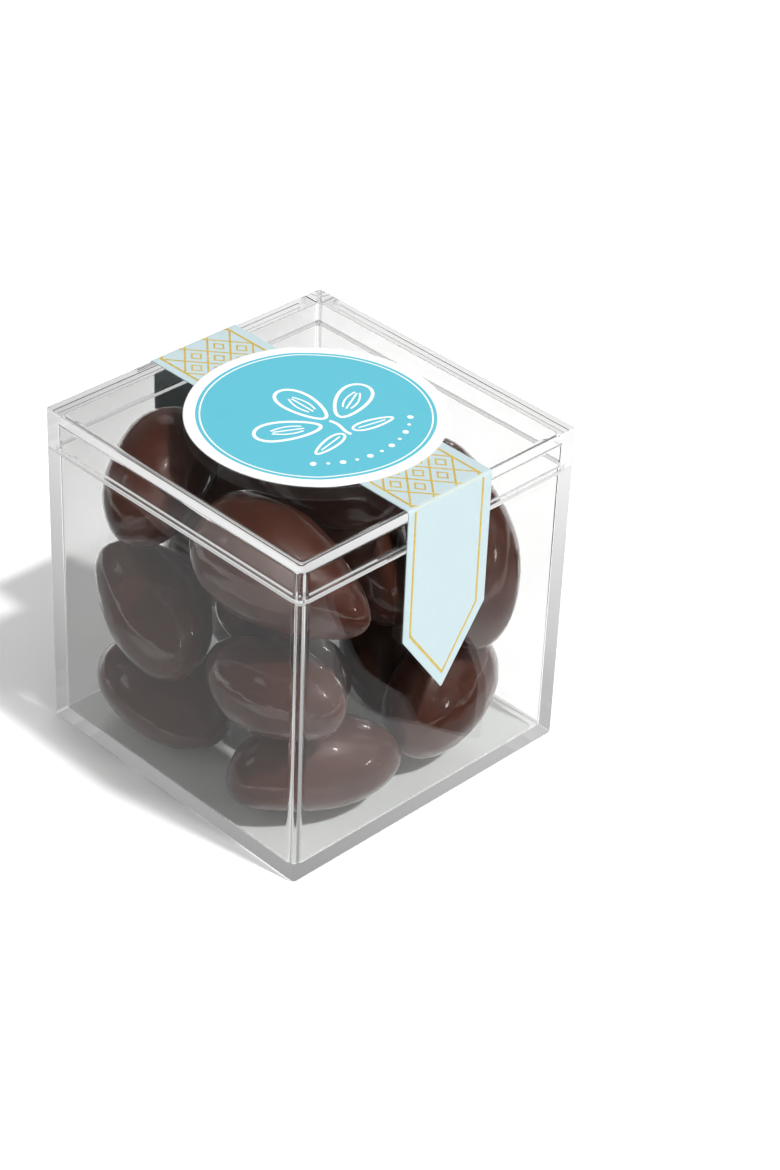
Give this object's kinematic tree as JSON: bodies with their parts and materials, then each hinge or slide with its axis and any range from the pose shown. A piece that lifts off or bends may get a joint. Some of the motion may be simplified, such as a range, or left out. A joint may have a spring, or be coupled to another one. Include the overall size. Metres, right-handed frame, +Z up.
{
  "type": "clear box of chocolate toffee almonds",
  "caption": "Clear square box with a shallow lid, filled with dark chocolate coated toffee almonds and shut by a paper band and a round paper seal.",
  "frame": {"origin": "middle of the underside of the box, on the surface it stands on", "axes": "+Z up; -Y is the front, where the pointed end of the band hangs down; +X to the right seen from the front"},
  "size_m": [0.0572, 0.0576, 0.0585],
  "materials": {
    "clear_box": "clear injection-moulded styrene, polished",
    "band_paper": "pale blue printed sticker paper with thin gold lines",
    "seal_paper": "turquoise printed disc with a white rim, smooth coated paper",
    "chocolate": "polished dark chocolate coating, slightly uneven"
  },
  "bodies": {
    "root": {"box_base": "clear_box", "box_lid": "clear_box", "label_band": "band_paper", "label_seal": "seal_paper", "candy_01": "chocolate", "candy_02": "chocolate", "candy_03": "chocolate", "candy_04": "chocolate", "candy_05": "chocolate", "candy_06": "chocolate", "candy_07": "chocolate", "candy_08": "chocolate", "candy_09": "chocolate", "candy_10": "chocolate", "candy_11": "chocolate", "candy_12": "chocolate", "candy_13": "chocolate", "candy_14": "chocolate", "candy_15": "chocolate", "candy_16": "chocolate"}
  },
  "joints": []
}
